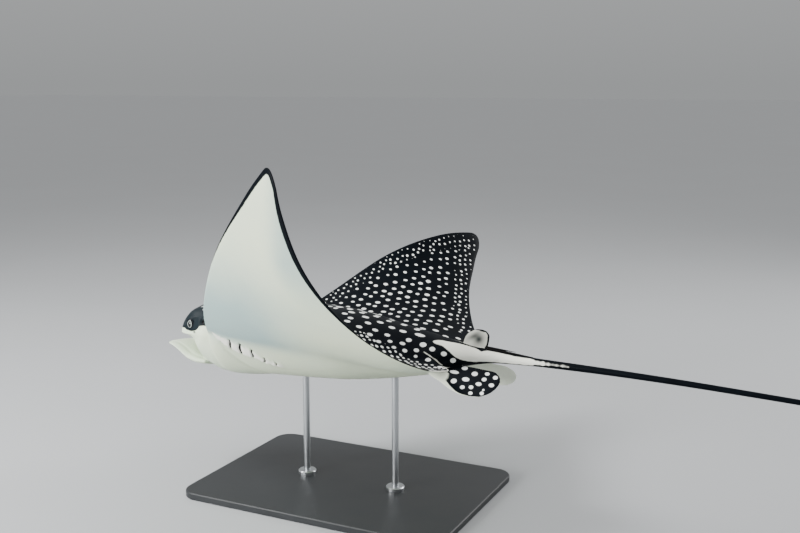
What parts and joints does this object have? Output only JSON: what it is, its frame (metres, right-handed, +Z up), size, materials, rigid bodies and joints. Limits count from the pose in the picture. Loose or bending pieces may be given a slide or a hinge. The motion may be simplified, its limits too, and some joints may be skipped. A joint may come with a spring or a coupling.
{
  "type": "spotted eagle ray",
  "caption": "Life-size still model of a spotted eagle ray gliding with raised wings, held over a flat base by upright rods.",
  "frame": {"origin": "centre of the stand base's underside, below the middle of the ray's disc", "axes": "the ray heads towards -Y, its tail runs back along +Y, its left wing is on +X, +Z is up"},
  "size_m": [1.0567, 3.5924, 0.7941],
  "materials": {
    "dark_skin": "smooth, slightly wet skin, near black with white spots above and creamy white below",
    "pale_skin": "smooth, slightly wet creamy white skin",
    "eye": "polished, black pupil in a pale ring",
    "spine": "satin horn",
    "stand_base": "satin black paint",
    "stand_steel": "fine brushed"
  },
  "bodies": {
    "root": {"head": "dark_skin", "trunk": "dark_skin", "tail_base": "dark_skin", "wing_left": "dark_skin", "wing_right": "dark_skin", "rostral_lobe": "pale_skin", "dorsal_fin": "pale_skin", "pelvic_fin_left": "dark_skin", "pelvic_fin_right": "dark_skin", "eye_left": "eye", "eye_right": "eye", "tail_spine_long": "spine", "tail_spine_short": "spine", "tail_1": "dark_skin", "tail_2": "dark_skin", "tail_3": "dark_skin", "tail_4": "dark_skin", "stand_base": "stand_base", "stand_rod_front": "stand_steel", "stand_rod_rear": "stand_steel", "stand_collar_front": "stand_steel", "stand_collar_rear": "stand_steel"}
  },
  "joints": []
}
